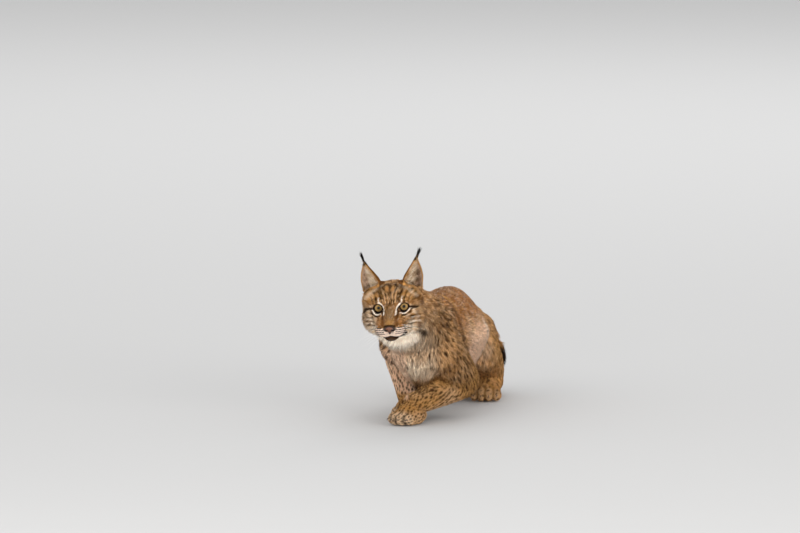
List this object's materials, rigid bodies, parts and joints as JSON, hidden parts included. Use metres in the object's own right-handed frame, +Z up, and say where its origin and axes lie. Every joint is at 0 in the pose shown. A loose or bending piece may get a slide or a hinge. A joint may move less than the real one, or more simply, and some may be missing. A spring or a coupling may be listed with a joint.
{
  "type": "eurasian lynx",
  "caption": "Life-size still model of an adult lynx in winter coat, crouching low with one forepaw reaching ahead, head turned a little.",
  "frame": {"origin": "middle of the animal's bounding box, at floor level", "axes": "the animal faces -Y with its left side at +X; +Z is up from the floor under its paws"},
  "size_m": [0.2672, 1.052, 0.4605],
  "materials": {
    "winter_coat": "dense ginger-brown winter fur with dark brown spots",
    "grey_brown_coat": "grey-brown fur, streaked on the face, pale on chin and throat",
    "black_tipped_coat": "ginger fur that ends in a black tip",
    "amber_eye": "clear glossy eye with an olive-gold iris and a round pupil",
    "nose_leather": "bare, slightly moist brick-pink skin with a dark rim"
  },
  "bodies": {
    "root": {"torso": "winter_coat", "left_upper_arm": "winter_coat", "right_upper_arm": "winter_coat", "left_forearm": "winter_coat", "right_forearm": "winter_coat", "left_forepaw": "winter_coat", "right_forepaw": "winter_coat", "left_thigh": "winter_coat", "right_thigh": "winter_coat", "left_shank": "winter_coat", "right_shank": "winter_coat", "left_hind_foot": "winter_coat", "right_hind_foot": "winter_coat", "head": "grey_brown_coat", "neck": "grey_brown_coat", "left_ear": "grey_brown_coat", "right_ear": "grey_brown_coat", "tail": "black_tipped_coat", "left_eye": "amber_eye", "right_eye": "amber_eye", "nose": "nose_leather"}
  },
  "joints": []
}
